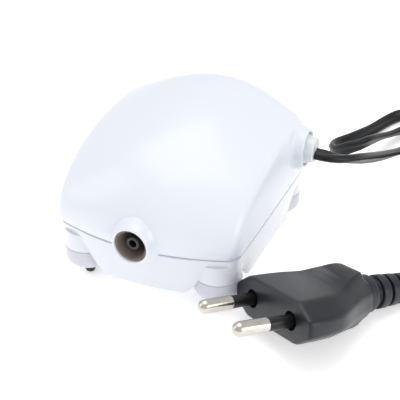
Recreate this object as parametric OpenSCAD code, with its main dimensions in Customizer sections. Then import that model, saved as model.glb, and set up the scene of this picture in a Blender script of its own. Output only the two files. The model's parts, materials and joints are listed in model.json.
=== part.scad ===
// Small dome-shaped aquarium air pump with one air outlet, a side cord port,
// four soft feet and a flat twin mains lead with a two-pin plug.
// Millimetres, +Z up, outlet towards -Y, cord port towards +X.
// Origin: middle of the base of the pump's own outer box, on the floor.

/* [Casing] */
// Height of the seam between the upper and the lower casing
seam_z = 18.8; // [17:0.2:20]
// Half the width of the casing at the seam, before its lower edge tucks in
half_w = 29.6; // [28:0.2:32]
// Rise of the roof's middle line above the seam
crown_rise = 30.4; // [28:0.2:34]
// Rise of the roof's side edges above the seam
edge_rise = 22.2; // [20:0.2:24]
// How far behind the middle the roof is highest
crown_y = 17.5; // [10:0.5:20]
// Wall thickness of both casings
wall = 1.8; // [1.4:0.1:2.2]

/* [Outlet] */
// Height of the air outlet's axis
outlet_z = 21.6; // [20:0.2:23]
// Radius of the round opening around the outlet nozzle
outlet_r = 4.85; // [4.4:0.05:5.4]
// Outer radius of the nozzle that the air tube is pushed onto
nozzle_r = 2.2; // [1.8:0.1:2.4]
// Bore radius of the nozzle
nozzle_bore = 1.1; // [0.6:0.1:1.4]

/* [Feet] */
// Sideways distance of each foot from the middle
foot_x = 21.2; // [19:0.2:22]
// Lengthwise distance of each foot from the middle
foot_y = 26.6; // [24:0.2:28]
// Radius of a soft foot
foot_r = 7; // [6:0.1:7.4]

/* [Mechanism] */
// Sideways place of the swinging arm
arm_x = -14.6; // [-15:0.1:-14]
// Height of the middle of the mechanism
mech_z = 22; // [22:0.1:22.4]

/* [Lead] */
// Width of the flat twin lead
lead_w = 5; // [4.6:0.1:5.2]
// Thickness of the flat twin lead
lead_t = 2.6; // [2.4:0.1:2.8]

/* [Hidden] */

$fn = 48;
eps = 0.01;

// Colours
white = [0.93, 0.94, 0.97];
soft_grey = [0.82, 0.82, 0.87];
rubber_black = [0.12, 0.12, 0.13];
rubber_brown = [0.32, 0.28, 0.26];
steel = [0.72, 0.73, 0.75];
copper = [0.72, 0.42, 0.22];
natural = [0.86, 0.85, 0.8];

// Roof shape: exponents of the lengthwise arcs, crown and side edge
front_crown_n = 2.4;
rear_crown_n = 2.8;
front_edge_n = 2.1;
rear_edge_n = 1.75;
// Half width between the roof's side edges at the ends, and its extra at the middle
edge_half = 27.4;
edge_bow = 1.9;
// Half length at the side edges, and the bow of the front and rear faces
edge_len = 32.6;
end_bow = 5;
// Where the corner curve starts on the side, and its corner point
corner_start = 28.6;
corner_tip = 31.8;
// Outward bulge of the side walls
side_bulge = 0.5;
// The seam edge is drawn in by this share, fading over this height
tuck = 0.042;
tuck_h = 2.2;
wall_steps = 3;
roof_steps = 14;
arc_steps = 20;
line_count = 2 * wall_steps + roof_steps;

// Cord port on the right side
port_y = 16.4;
port_z = 32.6;
port_lip_x = 33;
port_bore = 5.2;
outlet_lip_y = -39.6;

// The body is placed so that the middle of its outer box is the origin
side_reach = 29.9;
rear_reach = 37.3;
body_shift = [-(port_lip_x - side_reach) / 2, -(outlet_lip_y + rear_reach) / 2, 0];

// Mechanism stations along X, from the housing towards the arm
pump_y = -13;
housing_x = [-3, 4];
plate_x = [-5, -3];
gasket_x = [-5.8, -5];
chamber_x = [-9, -5.8];
rim_x = [-10, -9];
clamp_x = [-11.5, -10];
head_side = 19;
head_hole = 7.6;
chamber_r = 7.6;
pivot_y = -25;
arm_t = 1.2;
magnet_face_y = 10.2;
core_face_y = 11.2;
core_w = 20;
core_back_y = 22.6;
core_t = 9.2;
mid_leg = 5.2;
outer_leg = 3.4;
tray_z = [12.6, 14];
tray_bosses = [[-22, 0], [6.5, -18], [6.5, 17]];
leg_top = 16.4;
seat_z = 11.4;
boot_z = [3.8, 10.6];
feet = [[-1, -1], [1, -1], [-1, 1], [1, 1]];

// Plug: place of the middle of its face, and its turn
plug_at = [41.1, -36.6, 12.3];
plug_turn = [14, -10, -129];
plug_length = 31;
relief_length = 18;
pin_gap_base = 9.3;
pin_splay = 1.3;

// Route of the lead from the port to the coil: [x, y, z, roll of its flat section]
cord_route = [
  [34, 17.6, 31.4, 0], [36.8, 17.8, 31.2, 0], [39.6, 18.8, 30.6, -10],
  [42, 20.9, 29.8, -20], [43.8, 24, 28.7, -30], [45.2, 28.4, 27, -38],
  [46.4, 34, 24.7, -42], [48.2, 44, 20.8, -42], [50.2, 56, 16.6, -36],
  [52.8, 69, 12.6, -20], [55.6, 81, 8.8, 0], [59, 91.5, 5.4, 20],
  [61.9, 100.5, 3.6, 60], [61.2, 108.6, 2.6, 85], [55.8, 113.3, 2.6, 85],
  [49.2, 110.6, 2.6, 80], [44.6, 104.2, 3, 50], [41.4, 94.4, 4.9, 30],
  [38.8, 83.8, 7.5, 50],
  [37.2, 77, 9, 70], [34.9, 73.7, 8.7, 75], [31.3, 72.1, 7.4, 80],
  [27.5, 73, 4.9, 80], [24.9, 76, 3.7, 80], [24.2, 80, 3, 75],
  [25.2, 84.4, 2.6, 60], [29, 92.4, 2, 40], [33.6, 103.4, 1.7, 20],
  [37.4, 113.4, 2, 30], [41.6, 120, 2.5, 60], [48, 123, 2.6, 80],
  [56, 122.4, 2.6, 80], [64, 118.2, 2.4, 60], [70.5, 112, 2, 30],
  [77, 106.6, 1.5, 10], [84, 102.8, 1.4, 0], [91.5, 99.8, 1.4, 0],
  [99, 96.85, 1.4, 0]];
// Route of the lead from the coil to the plug's strain relief
plug_route = [
  [108.2, 44.5, 4.15, 0], [103, 38.9, 4.1, 0], [97.5, 32.8, 3.8, 0],
  [90, 24.2, 2.4, 0], [83, 15.8, 1.8, 0], [77, 8.4, 2.6, 0], [71.3, 1, 4, 0]];
coil_at = [88.5, 68];
coil_r = [17.2, 33.3];
coil_h = 5.6;

// ---------- shape functions ----------

function spow(c, e) = sign(c) * pow(abs(c), e);
function lerp(a, b, h) = a + (b - a) * h;
function bezier(a, b, c, h) = a * pow(1 - h, 2) + b * 2 * h * (1 - h) + c * pow(h, 2);

// Exponent of the lengthwise arc at s across the roof
function arc_n(s, c) = c > 0
  ? lerp(front_edge_n, front_crown_n, 1 - s * s)
  : lerp(rear_edge_n, rear_crown_n, 1 - s * s);

// Point of the roof at s across (1 right, -1 left) and t along (0 front, 180 rear)
function roof_point(s, t, off) =
  let (n = arc_n(s, cos(t)),
       rise = edge_rise + (crown_rise - edge_rise) * cos(90 * s) - off,
       end_y = edge_len + end_bow * (1 - s * s) - off,
       c = spow(cos(t), 2 / n),
       y = c > 0 ? lerp(crown_y, -end_y, c) : lerp(crown_y, end_y, -c))
  [s * (edge_half + edge_bow * sin(t) - off), y, rise * pow(sin(t), 2 / n)];

// Point of the right side wall at height share h below the roof's edge
function side_point(h, t, off) =
  let (edge = roof_point(1, t, off),
       end = t <= 0 ? -1 : 1,
       side = half_w - off)
  (t <= 0 || t >= 180)
    ? bezier([side, end * corner_start, 0], [side, end * (corner_tip - off), 0], edge, h)
    : lerp([side, edge[1] * corner_start / edge_len, 0], edge, h)
      + [side_bulge * sin(180 * h) * pow(sin(t), 0.35), 0, 0];

function mirror_x(p) = [-p[0], p[1], p[2]];
function tucked(p) =
  let (q = 1 - tuck * exp(-p[2] / tuck_h))
  [p[0] * q, p[1] * q, p[2] + seam_z];

// Point i of arc j: right wall, roof from right to left, left wall
function hood_point(i, j, off) =
  let (t = 180 * j / arc_steps)
  tucked(i < wall_steps ? side_point(i / wall_steps, t, off)
    : i <= wall_steps + roof_steps ? roof_point(1 - 2 * (i - wall_steps) / roof_steps, t, off)
    : mirror_x(side_point((line_count - i) / wall_steps, t, off)));

// The closed line where the hood meets the seam, as [i, j] pairs
seam_loop = concat(
  [for (i = [0:line_count]) [i, 0]],
  [for (j = [1:arc_steps]) [line_count, j]],
  [for (i = [line_count - 1:-1:0]) [i, arc_steps]],
  [for (j = [arc_steps - 1:-1:1]) [0, j]]);
seam_count = len(seam_loop);

function grid_index(i, j) = i * (arc_steps + 1) + j;
function seam_point(k, off) =
  let (p = hood_point(seam_loop[k][0], seam_loop[k][1], off))
  [p[0], p[1]];

// Centres of a swept tube's rings: a smooth curve through the route's points
function route_at(route, u) =
  let (n = len(route) - 1,
       k = min(n - 1, floor(u)),
       h = u - k,
       b = route[k],
       c = route[k + 1],
       a = k > 0 ? route[k - 1] : 2 * b - c,
       d = k < n - 1 ? route[k + 2] : 2 * c - b)
  0.5 * (2 * b + (c - a) * h + (2 * a - 5 * b + 4 * c - d) * pow(h, 2)
    + (3 * b - a - 3 * c + d) * pow(h, 3));
function unit(v) = v / norm(v);
function xyz(v) = [v[0], v[1], v[2]];
function sweep_ring(route, u, w, t, sides) =
  let (n = len(route) - 1,
       here = route_at(route, u),
       p = xyz(here),
       q = unit(xyz(route_at(route, min(n, u + 0.02)) - route_at(route, max(0, u - 0.02)))),
       level = unit(cross([0, 0, 1], q)),
       plumb = cross(q, level),
       side = level * cos(here[3]) + plumb * sin(here[3]),
       top = plumb * cos(here[3]) - level * sin(here[3]))
  [for (m = [0:sides - 1]) p + side * (w / 2 * cos(360 * m / sides))
    + top * (t / 2 * sin(360 * m / sides))];

// ---------- shared shapes ----------

module in_body() { translate(body_shift) children(); }
module along_x(x, y, z) { translate([x, y, z]) rotate([0, 90, 0]) children(); }
module along_y(x, y, z) { translate([x, y, z]) rotate([-90, 0, 0]) children(); }

// Tube of flat oval section swept along a route
module swept(route, w, t, sides, per_point) {
  rings = (len(route) - 1) * per_point;
  points = [for (r = [0:rings]) each sweep_ring(route, r / per_point, w, t, sides)];
  walls = [for (r = [0:rings - 1]) for (m = [0:sides - 1])
    let (a = r * sides + m, b = r * sides + (m + 1) % sides)
    each [[a, a + sides, b + sides], [a, b + sides, b]]];
  first = [for (m = [0:sides - 1]) m];
  last = [for (m = [sides - 1:-1:0]) rings * sides + m];
  polyhedron(points, concat(walls, [first, last]), convexity = 6);
}

// Screw standing on its point: head at the top
module screw(r, length, head_r, head_h) {
  translate([0, 0, -length]) cylinder(r = r, h = length);
  difference() {
    cylinder(r = head_r, h = head_h);
    for (turn = [0, 90])
      rotate([0, 0, turn]) translate([-head_r * 0.65, -0.22, head_h * 0.5])
        cube([head_r * 1.3, 0.44, head_h]);
  }
}

// Square plate of the pump head between two stations along X
module head_plate(x, hole_r) {
  along_x(x[0], pump_y, mech_z) difference() {
    linear_extrude(x[1] - x[0]) difference() {
      square(head_side, center = true);
      circle(r = hole_r);
    }
    for (a = [-1, 1]) for (b = [-1, 1])
      translate([a * head_hole, b * head_hole, -1]) cylinder(r = 1.05, h = 12);
  }
}

// ---------- casing ----------

// Solid dome on the seam, its surface drawn in by off and its flat base lowered by drop
module hood_solid(off, drop) {
  grid = [for (i = [0:line_count]) for (j = [0:arc_steps]) hood_point(i, j, off)];
  low = [for (k = [0:seam_count - 1]) let (p = seam_point(k, off)) [p[0], p[1], seam_z - drop]];
  base = len(grid);
  skin = [for (i = [0:line_count - 1]) for (j = [0:arc_steps - 1])
    let (a = grid_index(i, j), b = grid_index(i + 1, j),
         c = grid_index(i + 1, j + 1), d = grid_index(i, j + 1))
    each [[a, b, c], [a, c, d]]];
  skirt = drop <= 0 ? [] : [for (k = [0:seam_count - 1])
    let (n = (k + 1) % seam_count, p = seam_loop[k], q = seam_loop[n],
         a = grid_index(p[0], p[1]), b = grid_index(q[0], q[1]))
    each [[b, a, base + k], [b, base + k, base + n]]];
  edge = [for (k = [0:seam_count - 1])
    drop > 0 ? base + k : grid_index(seam_loop[k][0], seam_loop[k][1])];
  points = concat(grid, drop > 0 ? low : [], [[0, 0, seam_z - drop]]);
  under = [for (k = [0:seam_count - 1]) [edge[(k + 1) % seam_count], edge[k], len(points) - 1]];
  polyhedron(points, concat(skin, skirt, under), convexity = 4);
}

// Flared collar around the air outlet
module outlet_collar() {
  along_y(0, outlet_lip_y, outlet_z) rotate_extrude()
    polygon([[outlet_r, 0], [5.5, 0], [5.8, 0.3], [6.2, 1.6], [7.2, 3.2], [7.2, 8], [outlet_r, 8]]);
}

module outlet_opening() {
  along_y(0, outlet_lip_y - 1, outlet_z) cylinder(r = outlet_r, h = 12);
}

// Flared collar around the cord port, with a web that the gland sits on
module port_collar() {
  along_x(26.4, port_y, port_z) rotate_extrude()
    polygon([[3.25, 0.8], [7.2, 0.8], [7.2, 3.2], [6.5, 4.4], [6.3, 5.9],
      [6, port_lip_x - 26.4], [port_bore, port_lip_x - 26.4], [port_bore, 3], [3.25, 3]]);
}

module port_opening() {
  along_x(20, port_y, port_z) cylinder(r = 3.25, h = 20);
  along_x(29.4, port_y, port_z) cylinder(r = port_bore, h = 6);
}

// Collars and screw bosses that stay standing inside the dome
module hood_inside() {
  port_collar();
  upper_outlet_collar();
  // Screw bosses, each tied to the side wall by a rib
  for (f = feet) {
    translate([f[0] * foot_x, f[1] * foot_y, seam_z]) cylinder(r = 3, h = 8);
    translate([f[0] * (foot_x + 5), f[1] * foot_y, seam_z + 4])
      cube([10, 1.8, 8], center = true);
  }
}

module upper_outlet_collar() {
  intersection() {
    outlet_collar();
    translate([-10, -45, seam_z]) cube([20, 30, 20]);
  }
}

module top_casing() {
  color(white) in_body() {
    difference() {
      union() {
        difference() {
          hood_solid(0, 0);
          outlet_opening();
          port_opening();
        }
        port_collar();
        upper_outlet_collar();
      }
      difference() {
        hood_solid(wall, 1);
        hood_inside();
      }
      outlet_opening();
      port_opening();
      for (f = feet)
        translate([f[0] * foot_x, f[1] * foot_y, seam_z - 1]) cylinder(r = 1.25, h = 8);
    }
  }
}

// Depth of the lower casing under the seam: deep between the feet, shallow at them
function corner_share(p) =
  let (m = abs(p[0] * p[1]) / (half_w * edge_len),
       h = max(0, min(1, (m - 0.48) / 0.26)))
  h * h * (3 - 2 * h);
tub_depth = 14.4;
tub_lift = 8.9;
tub_floor_z = 4.2;
// Share of the seam outline and share of the depth, from the seam to the floor
tub_rings = [[1, 0], [0.992, 0.3], [0.972, 0.65], [0.94, 0.92], [0.9, 1], [0.62, 1]];

function tub_point(level, k, off) =
  let (r = tub_rings[level],
       p = seam_point(k, off),
       depth = tub_depth - tub_lift * corner_share(seam_point(k, 0)),
       z = level == len(tub_rings) - 1 ? tub_floor_z : seam_z - depth * r[1])
  [p[0] * r[0], p[1] * r[0], level == 0 ? seam_z : z + off];

// Solid tub under the seam, drawn in by off, with its flat top raised by rise
module tub_solid(off, rise) {
  levels = len(tub_rings);
  rings = [for (l = [0:levels - 1]) for (k = [0:seam_count - 1]) tub_point(l, k, off)];
  high = [for (k = [0:seam_count - 1]) let (p = seam_point(k, off)) [p[0], p[1], seam_z + rise]];
  base = len(rings);
  skin = [for (l = [0:levels - 2]) for (k = [0:seam_count - 1])
    let (a = l * seam_count + k, b = l * seam_count + (k + 1) % seam_count,
         c = b + seam_count, d = a + seam_count)
    each [[c, b, a], [d, c, a]]];
  collar = rise <= 0 ? [] : [for (k = [0:seam_count - 1])
    let (n = (k + 1) % seam_count)
    each [[n, base + n, base + k], [n, base + k, k]]];
  points = concat(rings, rise > 0 ? high : [],
    [[0, 0, rings[base - 1][2]], [0, 0, seam_z + max(0, rise)]]);
  mid = len(points) - 2;
  last = base - seam_count;
  first = rise > 0 ? base : 0;
  caps = [for (k = [0:seam_count - 1]) let (n = (k + 1) % seam_count)
    each [[last + n, last + k, mid], [first + k, first + n, mid + 1]]];
  polyhedron(points, concat(skin, collar, caps), convexity = 4);
}

module lower_outlet_collar() {
  intersection() {
    outlet_collar();
    translate([-10, -45, seam_z - 20]) cube([20, 30, 20]);
  }
}

// Roofs and columns over the feet, posts for the tray and the rim around the intake
module tub_inside() {
  lower_outlet_collar();
  for (f = feet)
    translate([f[0] * foot_x, f[1] * foot_y, 0]) {
      cylinder(r = foot_r + 1.6, h = boot_z[1] + wall);
      cylinder(r = 3.4, h = seam_z);
    }
  for (b = tray_bosses)
    translate([b[0], b[1], 0]) cylinder(r = 2.6, h = tray_z[0]);
  translate([9, 0, 0]) cylinder(r = 9, h = 8);
}

module bottom_casing() {
  color(white) in_body() {
    difference() {
      union() {
        tub_solid(0, 0);
        lower_outlet_collar();
        for (f = feet)
          translate([f[0] * foot_x, f[1] * foot_y, boot_z[1]])
            cylinder(r = foot_r - 0.7, h = leg_top - boot_z[1]);
      }
      difference() {
        tub_solid(wall, 1);
        tub_inside();
      }
      outlet_opening();
      for (f = feet)
        translate([f[0] * foot_x, f[1] * foot_y, 0]) {
          cylinder(r = foot_r + 0.25, h = boot_z[1]);
          cylinder(r = 3.1, h = seat_z);
          cylinder(r = 1.6, h = 20);
        }
      for (b = tray_bosses)
        translate([b[0], b[1], tub_floor_z + 1.8]) cylinder(r = 1.05, h = 12);
      translate([9, 0, tub_floor_z - 1]) cylinder(r = 7.6, h = 3);
      for (turn = [0:60:300])
        translate([9, 0, 0]) rotate([0, 0, turn]) translate([3.4, 0, 0])
          cylinder(r = 1.1, h = 12);
    }
  }
}

module foot_boot(f) {
  color(soft_grey) in_body()
    translate([f[0] * foot_x, f[1] * foot_y, 0]) rotate_extrude()
      polygon(concat(
        [[2.4, boot_z[0]], [foot_r - 3.4, boot_z[0]]],
        [for (a = [-75:15:0]) [foot_r - 3.4 + 3.4 * cos(a), boot_z[0] + 3.4 + 3.4 * sin(a)]],
        [[foot_r - 0.15, boot_z[1] - 0.4], [foot_r - 0.5, boot_z[1]], [3, boot_z[1]],
         [3, boot_z[0] + 1.6], [2.4, boot_z[0] + 1.6]]));
}

module foot_tip(f) {
  color(rubber_black) in_body()
    translate([f[0] * foot_x, f[1] * foot_y, 0]) rotate_extrude()
      polygon([[0, 0], [1.1, 0], [1.4, 0.3], [2.4, boot_z[0] - 0.2], [2.4, boot_z[0] + 1.6],
        [3, boot_z[0] + 1.6], [3, boot_z[0] + 2.6], [0, boot_z[0] + 2.6]]);
}

module foot_boot_front_left() { foot_boot(feet[0]); }
module foot_boot_front_right() { foot_boot(feet[1]); }
module foot_boot_rear_left() { foot_boot(feet[2]); }
module foot_boot_rear_right() { foot_boot(feet[3]); }
module foot_tip_front_left() { foot_tip(feet[0]); }
module foot_tip_front_right() { foot_tip(feet[1]); }
module foot_tip_rear_left() { foot_tip(feet[2]); }
module foot_tip_rear_right() { foot_tip(feet[3]); }

module casing_screws() {
  color(steel) in_body() for (f = feet)
    translate([f[0] * foot_x, f[1] * foot_y, seat_z]) rotate([180, 0, 0])
      screw(1.25, 12.4, 2.6, 1.8);
}

// ---------- air outlet ----------

module outlet_grommet() {
  color(rubber_brown) in_body()
    along_y(0, outlet_lip_y + 0.7, outlet_z) rotate_extrude()
      polygon([[4.4, 0], [outlet_r - 0.05, 0], [outlet_r - 0.05, 8.6],
        [nozzle_r - 0.3, 8.6], [nozzle_r - 0.3, 6.6], [2.9, 6.2], [4.3, 0.6]]);
}

module outlet_nozzle() {
  color(rubber_black) in_body()
    along_y(0, -37.8, outlet_z) rotate_extrude()
      polygon([[nozzle_bore, 0], [nozzle_r - 0.3, 0], [nozzle_r, 0.4], [nozzle_r, 5],
        [nozzle_r - 0.3, 5.2], [nozzle_r - 0.3, 13.8],
        [3.2, 13.8], [3.2, 15.3], [1.8, 15.3], [1.8, 18.3], [nozzle_bore, 18.3]]);
}

// ---------- pump head ----------

module valve_housing() {
  half = head_side / 2;
  depth = housing_x[1] - housing_x[0];
  color(natural) in_body() difference() {
    union() {
      translate([housing_x[0], pump_y - half, mech_z - half])
        cube([depth, head_side, head_side]);
      translate([housing_x[0], pump_y - half - 4, tray_z[1]])
        cube([depth, head_side + 8, 1.6]);
    }
    // Intake room above, with its opening to the inside of the casing
    translate([housing_x[0] - eps, pump_y - 4, mech_z + 3.4]) cube([5, 8, 4.6]);
    along_x(0, pump_y, mech_z + 5.6) cylinder(r = 1.8, h = 10);
    // Outlet room below, with the nozzle's seat
    translate([housing_x[0] - eps, pump_y - 7, mech_z - 7.8]) cube([5.2, 11, 9.4]);
    along_y(0, pump_y - half - 1, outlet_z) cylinder(r = 1.8, h = 4);
    for (a = [-1, 1]) for (b = [-1, 1])
      along_x(housing_x[0] - 1, pump_y + a * head_hole, mech_z + b * head_hole)
        cylinder(r = 0.95, h = 6.5);
    for (a = [-1, 1])
      translate([0.5, pump_y + a * (half + 2), tray_z[1] - 1]) cylinder(r = 1.05, h = 4);
  }
}

module housing_screws() {
  color(steel) in_body() for (a = [-1, 1])
    translate([0.5, pump_y + a * (head_side / 2 + 2), tray_z[1] + 1.6])
      screw(1, 3, 1.8, 1.1);
}

module valve_plate() {
  color(natural) in_body() difference() {
    head_plate(plate_x, eps);
    along_x(plate_x[0] - 1, pump_y, mech_z) cylinder(r = 0.5, h = 0.9);
    for (dz = [-4.6, 4.6])
      along_x(plate_x[0] - 1, pump_y, mech_z + dz) cylinder(r = 1.2, h = 4);
  }
}

module valve_gasket() { color(rubber_black) in_body() head_plate(gasket_x, 7.7); }
module pump_chamber() { color(natural) in_body() head_plate(chamber_x, chamber_r); }
module clamp_ring() { color(natural) in_body() head_plate(clamp_x, chamber_r); }

// Thin rubber flap that closes a port; it hangs from its upper edge
module valve_flap(x, z_top) {
  translate([x, pump_y - 2.2, z_top - 4.6]) cube([0.5, 4.4, 4.6]);
}
module inlet_flap() { color(rubber_black) in_body() valve_flap(plate_x[0] - 0.6, mech_z + 7); }
module outlet_flap() { color(rubber_black) in_body() valve_flap(plate_x[1] + 0.1, mech_z - 2.4); }

// Rubber cup: square clamped rim, rolled ring and a middle boss on the arm
module diaphragm() {
  color(rubber_black) in_body() {
    head_plate(rim_x, chamber_r - 0.6);
    along_x(0, pump_y, mech_z) rotate_extrude() polygon([
      [1.05, arm_x + arm_t / 2], [3, arm_x + arm_t / 2], [3, -10.4],
      [4.4, -10.4], [5.6, -8.9], [7.1, -9.9], [7.1, -9.1], [5.7, -8.1],
      [4.2, -9.4], [3.6, -9.2], [1.05, -9.2]]);
  }
}

module diaphragm_washer() {
  color(steel) in_body() along_x(-9.2, pump_y, mech_z) difference() {
    cylinder(r = 3.6, h = 0.6);
    translate([0, 0, -1]) cylinder(r = 1.05, h = 3);
  }
}

module diaphragm_screw() {
  color(steel) in_body() along_x(-8.6, pump_y, mech_z) screw(1, 7.6, 2, 0.9);
}

module chamber_screws() {
  color(steel) in_body() for (a = [-1, 1]) for (b = [-1, 1])
    translate([clamp_x[0], pump_y + a * head_hole, mech_z + b * head_hole])
      rotate([0, -90, 0]) screw(0.95, 11, 1.7, 1.2);
}

// ---------- swinging arm ----------

module swing_arm() {
  color(steel) in_body() difference() {
    union() {
      translate([arm_x - arm_t / 2, pivot_y, mech_z - 4]) cube([arm_t, 30, 8]);
      translate([arm_x, pivot_y, mech_z - 4]) cylinder(r = 3.3, h = 8);
    }
    translate([arm_x, pivot_y, mech_z - 5]) cylinder(r = 2.3, h = 10);
    along_x(arm_x - 3, pump_y, mech_z) cylinder(r = 1, h = 6);
  }
}

module pivot_bush() {
  color(rubber_black) in_body() translate([arm_x, pivot_y, mech_z - 5]) difference() {
    cylinder(r = 2.3, h = 10);
    translate([0, 0, -1]) cylinder(r = 1.3, h = 12);
  }
}

module pivot_pin() {
  color(steel) in_body() translate([arm_x, pivot_y, tray_z[0] + 0.4])
    cylinder(r = 1.25, h = mech_z + 6.6 - tray_z[0]);
}

module pivot_clip() {
  color(steel) in_body() translate([arm_x, pivot_y, mech_z + 5.3]) difference() {
    cylinder(r = 2.6, h = 0.6);
    translate([0, 0, -1]) cylinder(r = 1.25, h = 3);
  }
}

module magnet_holder() {
  color(natural) in_body() difference() {
    translate([arm_x - 6, 2.6, mech_z - 6]) cube([12, magnet_face_y - 4.8, 12]);
    translate([arm_x - arm_t / 2, 0, mech_z - 4]) cube([arm_t, 5, 8]);
  }
}

module magnet(side) {
  color([0.25, 0.25, 0.27]) in_body()
    translate([arm_x + side * 2.9 - 2.4, magnet_face_y - 2.2, mech_z - 5])
      cube([4.8, 2.2, 10]);
}
module magnet_left() { magnet(-1); }
module magnet_right() { magnet(1); }

// ---------- electromagnet ----------

module core_laminations() {
  half = core_w / 2;
  back = 3;
  color([0.45, 0.46, 0.48]) in_body() translate([arm_x, 0, mech_z - core_t / 2])
    difference() {
      translate([-half, core_face_y, 0]) cube([core_w, core_back_y - core_face_y, core_t]);
      for (side = [-1, 1]) {
        mid = side * (mid_leg / 2 + half - outer_leg) / 2;
        gap = half - outer_leg - mid_leg / 2;
        translate([mid - gap / 2, core_face_y - 1, -1])
          cube([gap, core_back_y - back - core_face_y + 1, core_t + 2]);
        translate([side * (half - outer_leg / 2), 15, -1]) cylinder(r = 0.95, h = core_t + 2);
      }
    }
}

module core_screws() {
  color(steel) in_body() for (side = [-1, 1])
    translate([arm_x + side * (core_w - outer_leg) / 2, 15, mech_z + core_t / 2])
      screw(0.9, 13, 1.6, 1.1);
}

bobbin_y = [11.9, 19.5];
// Rectangular frame around the middle leg, lying across Y
module leg_frame(y0, y1, w, h, hole_w, hole_h) {
  translate([arm_x, 0, mech_z]) difference() {
    translate([-w / 2, y0, -h / 2]) cube([w, y1 - y0, h]);
    translate([-hole_w / 2, y0 - 1, -hole_h / 2]) cube([hole_w, y1 - y0 + 2, hole_h]);
  }
}

module coil_bobbin() {
  color(natural) in_body() {
    leg_frame(bobbin_y[0], bobbin_y[1], mid_leg + 1.6, core_t + 1.6, mid_leg, core_t);
    leg_frame(bobbin_y[0], bobbin_y[0] + 0.8, 13, 18, mid_leg, core_t);
    leg_frame(bobbin_y[1] - 0.8, bobbin_y[1], 13, 18, mid_leg, core_t);
  }
}

module coil_winding() {
  color(copper) in_body()
    leg_frame(bobbin_y[0] + 0.8, bobbin_y[1] - 0.8, 12.6, 17.2, mid_leg + 1.6, core_t + 1.6);
}

module lead_wires() {
  color(rubber_black) in_body() for (side = [-1, 1])
    swept([[-7.4, 18.9, 29 + side * 0.9, 0], [-5, 20.6, 31.6 + side, 0],
      [2, 21, 35.4 + side * 0.8, 0], [11, 18.6, 35.6 + side * 0.8, 0],
      [17.2, port_y, port_z + side * 0.9, 0]], 1.2, 1.2, 8, 3);
}

// ---------- chassis ----------

module chassis_tray() {
  color(natural) in_body() difference() {
    union() {
      translate([-21.6, -20, tray_z[0]]) cube([30.4, 41, tray_z[1] - tray_z[0]]);
      translate([-24.8, -3, tray_z[0]]) cube([4, 6, tray_z[1] - tray_z[0]]);
      translate([-7, pump_y - 14, tray_z[0]]) cube([15.8, 10, tray_z[1] - tray_z[0]]);
      translate([arm_x - 2.5, pivot_y, tray_z[0] + 0.3]) cube([5, 8, tray_z[1] - tray_z[0] - 0.3]);
      translate([arm_x, pivot_y, tray_z[0] + 0.3])
        cylinder(r = 2.8, h = mech_z - 5.7 - tray_z[0]);
      for (side = [-1, 1])
        translate([arm_x + side * (core_w - outer_leg) / 2 - outer_leg / 2, 12, tray_z[0]])
          cube([outer_leg, 6.4, mech_z - core_t / 2 - tray_z[0]]);
    }
    // Windows under the pump head and the coil, and room for the feet's columns
    translate([-13.6, pump_y - 10, 0]) cube([18, 20, 20]);
    translate([arm_x - 6.6, 11.4, 0]) cube([13.2, 12, 20]);
    for (side = [-1, 1])
      translate([-foot_x, side * foot_y, 0]) cylinder(r = 3.8, h = 30);
    translate([arm_x, pivot_y, tray_z[0] + 0.4]) cylinder(r = 1.25, h = 20);
    for (b = tray_bosses) translate([b[0], b[1], 0]) cylinder(r = 1.1, h = 20);
    for (a = [-1, 1])
      translate([0.5, pump_y + a * (head_side / 2 + 2), 0]) cylinder(r = 1, h = 20);
    for (side = [-1, 1])
      translate([arm_x + side * (core_w - outer_leg) / 2, 15, tray_z[0] + 0.6])
        cylinder(r = 0.9, h = 20);
  }
}

module chassis_screws() {
  color(steel) in_body() for (b = tray_bosses)
    translate([b[0], b[1], tray_z[1]]) screw(1.05, 6.6, 2, 1.2);
}

// ---------- intake ----------

module intake_felt() {
  color([0.8, 0.8, 0.76]) in_body() translate([9, 0, tub_floor_z + 0.9])
    cylinder(r = 7.5, h = 1.1);
}

module filter_cover() {
  color(white) in_body() translate([9, 0, tub_floor_z - 0.2]) difference() {
    cylinder(r = 7.6, h = 1.1);
    for (dx = [-4, 0, 4]) translate([dx - 0.6, -4, -1]) cube([1.2, 8, 4]);
  }
}

// ---------- lead and plug ----------

module cord_gland() {
  color([0.84, 0.86, 0.87]) in_body() along_x(17.4, port_y, port_z) rotate_extrude()
    polygon([[0, 0], [2.6, 0], [3.2, 1], [3.2, 12.05], [5.1, 12.05], [5.1, 14.6], [4.6, 15.2],
      [4.3, 15.6], [3.9, 18.15], [0, 18.15]]);
}

module power_cord() { color(rubber_black) swept(cord_route, lead_w, lead_t, 8, 2); }
module plug_lead() { color(rubber_black) swept(plug_route, lead_w, lead_t, 8, 2); }

module cord_coil() {
  color(rubber_black) translate([coil_at[0], coil_at[1], 0]) rotate_extrude()
    translate([coil_r[0], 0]) square([coil_r[1] - coil_r[0], coil_h]);
}

module in_plug() { translate(plug_at) rotate(plug_turn) children(); }

// Outline of the plug's section at a station behind its face: half width, half height,
// half width of its flat top
plug_stations = [[2, 17, 5.4, 11.2], [1.2, 17.6, 5.8, 11.6], [-9, 16.6, 5.9, 11.4],
  [-17, 13.2, 5.9, 9.2], [-24, 9.2, 5.9, 6.4], [-plug_length, 6.6, 5, 4.4]];
function plug_ring(s) = [
  [s[0], s[1], 2.2], [s[0], s[3], s[2]], [s[0], -s[3], s[2]], [s[0], -s[1], 2.2],
  [s[0], -s[1], -2.2], [s[0], -s[3], -s[2]], [s[0], s[3], -s[2]], [s[0], s[1], -2.2]];

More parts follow.
